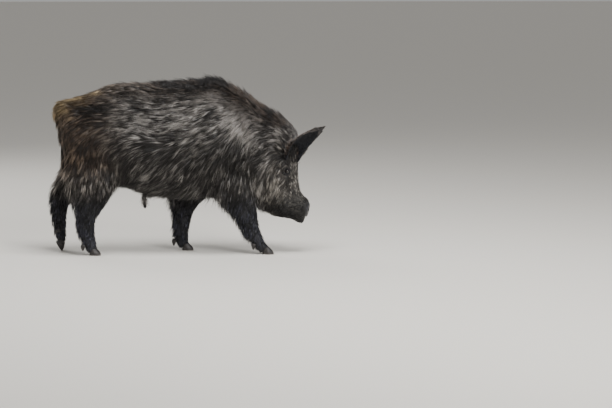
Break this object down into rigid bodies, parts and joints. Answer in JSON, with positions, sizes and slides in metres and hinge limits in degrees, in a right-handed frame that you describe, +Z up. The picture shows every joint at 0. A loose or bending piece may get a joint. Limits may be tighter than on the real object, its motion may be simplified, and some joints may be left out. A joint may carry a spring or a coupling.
{
  "type": "wild boar",
  "caption": "Life-size still model of an adult wild boar walking with its head lowered, bristly grey-brown coat, dark legs and snout",
  "frame": {"origin": "on the floor under the middle of the boar's bounding box", "axes": "+X towards the snout, +Y to the boar's left, +Z up"},
  "size_m": [1.3542, 0.3662, 0.8677],
  "materials": {
    "coat": "coarse grizzled bristles",
    "dark_coat": "short dark bristles",
    "nose": "damp bare skin",
    "horn": "worn dark hoof horn",
    "eye": "wet dark brown"
  },
  "bodies": {
    "root": {"ear_left": "dark_coat", "ear_right": "dark_coat", "eye_left": "eye", "eye_right": "eye", "foreleg_left": "dark_coat", "foreleg_left_dewclaw_inner": "horn", "foreleg_left_dewclaw_outer": "horn", "foreleg_left_hoof_inner": "horn", "foreleg_left_hoof_outer": "horn", "foreleg_right": "dark_coat", "foreleg_right_dewclaw_inner": "horn", "foreleg_right_dewclaw_outer": "horn", "foreleg_right_hoof_inner": "horn", "foreleg_right_hoof_outer": "horn", "head": "coat", "hindleg_left": "dark_coat", "hindleg_left_dewclaw_inner": "horn", "hindleg_left_dewclaw_outer": "horn", "hindleg_left_hoof_inner": "horn", "hindleg_left_hoof_outer": "horn", "hindleg_right": "dark_coat", "hindleg_right_dewclaw_inner": "horn", "hindleg_right_dewclaw_outer": "horn", "hindleg_right_hoof_inner": "horn", "hindleg_right_hoof_outer": "horn", "lower_jaw": "coat", "neck": "coat", "nose_disc": "nose", "tail": "coat", "trunk": "coat"}
  },
  "joints": []
}
